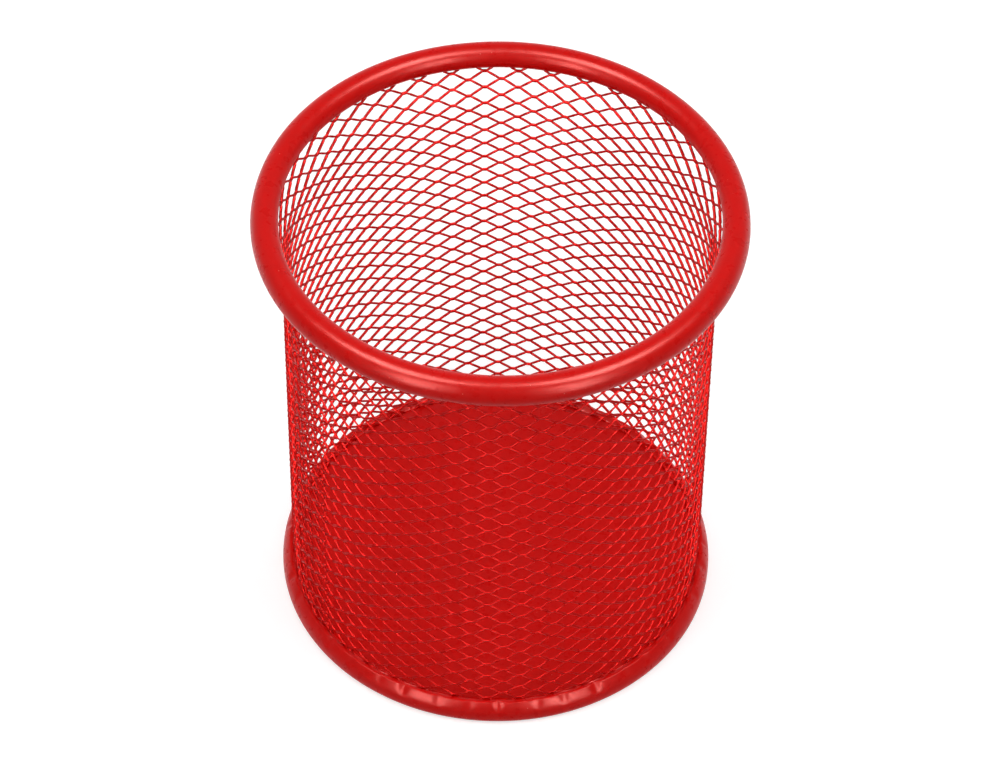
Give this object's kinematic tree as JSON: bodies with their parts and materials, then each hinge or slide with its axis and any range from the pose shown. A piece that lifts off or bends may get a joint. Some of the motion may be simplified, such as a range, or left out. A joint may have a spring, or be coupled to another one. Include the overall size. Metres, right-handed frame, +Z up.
{
  "type": "mesh pencil cup",
  "caption": "Round desk cup of rolled expanded steel mesh with a rolled bead rim and a pressed solid bottom, for holding pens and pencils upright.",
  "frame": {"origin": "middle of the foot ring, on the surface that the cup stands on", "axes": "+Z up along the cup's axis towards its mouth; -Y faces the pictured front"},
  "size_m": [0.09, 0.09, 0.098],
  "materials": {
    "red_coat_mesh": "satin",
    "red_coat_rim": "satin",
    "red_coat_base": "satin"
  },
  "bodies": {
    "root": {"mesh_wall": "red_coat_mesh", "top_rim": "red_coat_rim", "base_pan": "red_coat_base"}
  },
  "joints": []
}
